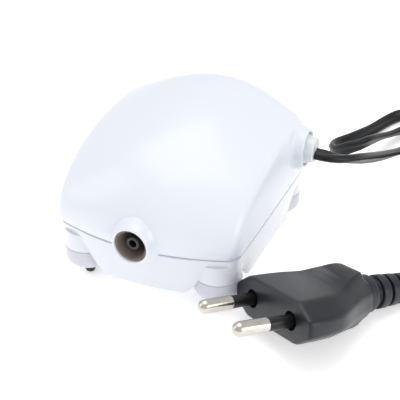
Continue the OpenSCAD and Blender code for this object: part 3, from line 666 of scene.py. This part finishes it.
FOOT_X, FOOT_Y = 21.2, 26.6
FEET = {"front_left": (-1, -1), "front_right": (1, -1), "rear_left": (-1, 1),
        "rear_right": (1, 1)}
LEG = lathe(rounded([(0, 10.6), (6.85, 10.6), (6.7, 16.4), (0, 16.4)], 0.12, 3))
legs = [([(x + sx * FOOT_X, y + sy * FOOT_Y, z) for x, y, z in LEG[0]], LEG[1])
        for sx, sy in FEET.values()]
low = merge(opened("tub", tub_shell(), outlet_bore),
            facing_front(half_lathe(COLLAR, False), OUTLET_LIP, OUTLET_Z), *legs)
base_shell = new_object("base_shell", *shifted(low), smooth=35)

# ---------------------------------------------------------------- feet, outlet and gland

BOOT = [(0, 3.8), (3.6, 3.8)]
BOOT += [(3.6 + 3.4 * math.sin(a), 7.2 - 3.4 * math.cos(a))
         for a in np.linspace(0.15, math.pi / 2, 14)]
BOOT += [(7.0, 10.3), (6.97, 10.45), (6.85, 10.52), (6.7, 10.55), (0, 10.55)]
TIP = rounded([(0, 0), (1.15, 0), (1.45, 0.35), (2.35, 3.6), (2.4, 4.4), (0, 4.4)], 0.25, 4)
for name, (sx, sy) in FEET.items():
    at = np.array([sx * FOOT_X, sy * FOOT_Y, 0]) + SHIFT
    for kind, prof, slot_name in (("boot", BOOT, "boot_grey"), ("tip", TIP, "tip_black")):
        verts, faces = lathe(prof)
        ob = new_object(f"{kind}_{name}", [tuple(np.array(p) + at) for p in verts], faces,
                        smooth=40)
        piece(ob, slot_name, f"foot_{kind}_{name}")

CUP = rounded([(4.4, 0.05), (4.86, 0), (4.86, 8.6), (1.95, 8.6), (1.95, 6.9), (2.5, 6.4),
               (3.1, 5.2), (3.9, 1.8), (4.2, 0.5), (4.4, 0.05)], 0.35, 5)
cup = new_object("outlet_cup", *shifted(facing_front(lathe(CUP[:-1]), -38.9, OUTLET_Z)),
                 smooth=40)
NOZZLE = rounded([(1.1, 12), (1.1, 0.15), (1.25, 0), (1.85, 0), (2.18, 0.45), (2.2, 5.2),
                  (1.92, 5.4), (1.92, 12)], 0.2, 4)
nozzle = new_object("outlet_tube", *shifted(facing_front(lathe(NOZZLE, 64), -37.8, OUTLET_Z)),
                    smooth=40)
GLAND = rounded([(0, 9), (3.2, 9), (3.2, 12.05), (5.1, 12.05), (5.1, 14.5), (4.75, 15.1),
                 (4.35, 15.6), (4.2, 16.4), (3.95, 17.9), (3.6, 18.15), (0, 18.15)], 0.5, 5)
gland = new_object("lead_gland", *shifted(facing_right(lathe(GLAND), 17.4, PORT_Y, PORT_Z)),
                   smooth=40)

piece(top_shell, "casing_white", "top_casing")
piece(base_shell, "base_white", "bottom_casing")
piece(cup, "grommet_rubber", "outlet_grommet")
piece(nozzle, "nozzle_black", "outlet_nozzle")
piece(gland, "gland_clear", "cord_gland")
piece(lead, "lead_black", "power_cord", "cord_coil", "plug_lead")

# ---------------------------------------------------------------- plug

PLUG_AT = np.array([41.1, -36.6, 12.3])
ax, ay, az = (math.radians(a) for a in (14, -10, -129))
PLUG_ROT = np.array(Matrix.Rotation(az, 3, "Z") @ Matrix.Rotation(ay, 3, "Y")
                    @ Matrix.Rotation(ax, 3, "X"))


def in_plug(shape):
    """A shape drawn along the plug's own X, moved to where the plug lies."""
    v = np.array(shape[0], float) @ PLUG_ROT.T + PLUG_AT
    return [tuple(p) for p in v], shape[1]


def plug_outline(half_w, half_h, top_w):
    """Rounded six-sided section, with short upright sides."""
    mid, radius, per = 2.2, 1.1, 7
    pts = [(half_w, mid), (top_w, half_h), (-top_w, half_h), (-half_w, mid),
           (-half_w, -mid), (-top_w, -half_h), (top_w, -half_h), (half_w, -mid)]
    out = []
    n = len(pts)
    for i in range(n):
        a, b, c = (np.array(pts[(i + k) % n], float) for k in (-1, 0, 1))
        la, lc = np.linalg.norm(a - b), np.linalg.norm(c - b)
        d = min(radius, 0.42 * la, 0.42 * lc)
        p, q = b + (a - b) / la * d, b + (c - b) / lc * d
        for k in range(per):
            h = k / (per - 1)
            out.append(p * (1 - h) ** 2 + 2 * b * h * (1 - h) + q * h * h)
    return np.array(out)


def plug_solid():
    """Plug body: rounded sections at (place, half width, half height, flat top's half width)."""
    marks = [(2.0, 16.6, 5.2, 11.0), (1.9, 17.1, 5.55, 11.3), (1.4, 17.5, 5.78, 11.6),
             (0.6, 17.6, 5.82, 11.7), (-4, 17.3, 5.85, 11.6), (-9, 16.4, 5.88, 11.2),
             (-11.5, 15.4, 5.9, 10.5), (-14, 13.9, 5.9, 9.6), (-16.5, 12.3, 5.9, 8.6),
             (-18, 11.3, 5.88, 7.9), (-19.5, 10.4, 5.86, 7.2), (-21, 9.6, 5.82, 6.6),
             (-22.5, 8.8, 5.75, 6.0), (-24, 8.1, 5.65, 5.4), (-25.5, 7.4, 5.45, 4.9),
             (-26.8, 7.0, 5.2, 4.6), (-27.3, 6.6, 4.9, 4.3), (-27.5, 5.8, 4.3, 3.7)]
    verts, faces = [], []
    for x, w, h, tw in marks:
        ring = plug_outline(w, h, tw)
        # Raised grip wedge across the top and the underside, steep at the back
        grip = 2.9 * min(1.0, max(0.0, (-x - 13.0) / 9.0)) * ease((x + 26.4) / 2.4)
        for y, z in ring:
            side = 1.0 if z > 0 else 0.55
            lift = side * grip * ease((abs(z) - 3.0) / 2.0) * ease((tw + 1.5 - abs(y)) / 3.0)
            verts.append((x, y, z + math.copysign(lift, z)))
        m = len(ring)
    rows = len(marks)
    for i in range(rows - 1):
        for k in range(m):
            n = (k + 1) % m
            faces.append((i * m + k, i * m + n, (i + 1) * m + n, (i + 1) * m + k))
    for i, x in ((0, marks[0][0]), (rows - 1, marks[-1][0])):
        mid = len(verts)
        verts.append((x, 0, 0))
        for k in range(m):
            faces.append((i * m + k, i * m + (k + 1) % m, mid))
    return verts, faces


def pin_frame(side):
    """Start and direction of a pin: the two lean slightly towards each other."""
    a = math.radians(-side * 1.3)
    axis = (math.cos(a), math.sin(a), 0.0)
    return (-9.0, side * 9.3, 0.0), axis


def along_pin(shape, side):
    """A shape about +Z, laid along one of the pins."""
    origin, axis = pin_frame(side)
    return in_plug(placed(shape, origin, axis))


plug = new_object("plug_shell", *in_plug(plug_solid()))
pockets = []
for side in (-1, 1):
    pockets.append(new_object("pocket", *along_pin(
        lathe([(0, 9.4), (2.35, 9.4), (2.6, 10.8), (2.8, 12.5), (0, 12.5)], 48), side)))
cut(plug, *pockets)
sharpen(plug, 32)
piece(plug, "plug_black", "plug_body")

# Ribbed relief behind the plug: rings on a tapered core
RELIEF = [(0, -4.5), (5.4, -4.5), (5.6, -3.2), (5.5, -0.6), (4.9, -0.2), (4.8, 0.6)]
for k in range(4):
    z = 1.2 + 3.9 * k
    r = 5.05 - 0.07 * z
    RELIEF += [(r - 1.1, z), (r - 1.1, z + 0.9), (r, z + 1.05), (r - 0.05, z + 3.7)]
RELIEF += [(3.4, 17.4), (3.0, 17.9), (2.7, 18.0), (0, 18.0)]
relief_shape = placed(lathe(rounded(RELIEF, 0.3, 3), 64), (-31.0, 0, 0), (-1, 0, 0))
relief = new_object("plug_relief", *in_plug(relief_shape), smooth=40)
piece(relief, "plug_black")

SLEEVE = rounded([(0, 8.4), (1.8, 8.4), (1.8, 17.75), (1.7, 18.0), (0, 18.0)], 0.12, 4)
PIN = [(0, 17.6), (1.72, 17.6), (1.72, 18.15), (1.98, 18.3), (2.0, 18.6), (2.0, 26.0)]
PIN += [(2.0 * math.cos(a), 26.0 + 2.0 * math.sin(a)) for a in np.linspace(0.1, 1.5, 12)]
PIN += [(0, 28.0)]
on_lead = [gland, plug, relief]
for side, word in ((-1, "left"), (1, "right")):
    sleeve = new_object(f"sleeve_{word}", *along_pin(lathe(SLEEVE, 64), side), smooth=40)
    piece(sleeve, "sleeve_black", f"pin_sleeve_{word}")
    pin = new_object(f"pin_{word}", *along_pin(lathe(PIN, 64), side), smooth=40)
    piece(pin, "pin_nickel", f"plug_pin_{word}")
    on_lead += [sleeve, pin]

# ---------------------------------------------------------------- remaining CAD pieces

for name, ob in NODES.items():
    dress(ob, slot_of[name])

# ---------------------------------------------------------------- floor and light

REACH, DROP = 1600, -0.05
floor = new_object("floor", [(-REACH, -REACH, DROP), (REACH, -REACH, DROP),
                             (REACH, REACH, DROP), (-REACH, REACH, DROP)], [(0, 1, 2, 3)])
floor_mat = material("floor_paper", (0.9, 0.9, 0.9), 0.6, mottle=0.004, scale=4)
# The floor gives off a little light, which softens the shadows on it
floor_shader = floor_mat.node_tree.nodes["Principled BSDF"]
floor_shader.inputs["Emission Color"].default_value = (1, 1, 1, 1)
floor_shader.inputs["Emission Strength"].default_value = 0.42
floor.data.materials.append(floor_mat)

WORLD, OVER, LEFT, RIGHT = 0.80, 3.8, 1.3, 2.6
world = bpy.data.worlds.new("world")
world.use_nodes = True
world.node_tree.nodes["Background"].inputs[0].default_value = (1.0, 1.0, 1.0, 1)
world.node_tree.nodes["Background"].inputs[1].default_value = WORLD
scene.world = world


def softbox(name, at, size, power):
    """Rectangular area light aimed at the pump."""
    data = bpy.data.lights.new(name, "AREA")
    data.shape = "RECTANGLE"
    data.size, data.size_y = size
    data.energy = power
    ob = bpy.data.objects.new(name, data)
    scene.collection.objects.link(ob)
    ob.location = at
    aim = Vector((0, 0, 0.02)) - Vector(at)
    ob.rotation_euler = aim.to_track_quat("-Z", "Y").to_euler()


softbox("overhead", (-0.1, 0.1, 0.9), (0.8, 0.8), OVER)
softbox("left", (-0.8, -0.35, 0.5), (0.5, 0.7), LEFT)
softbox("right", (0.9, -0.25, 0.35), (0.6, 0.5), RIGHT)
scene.view_settings.view_transform = "Standard"
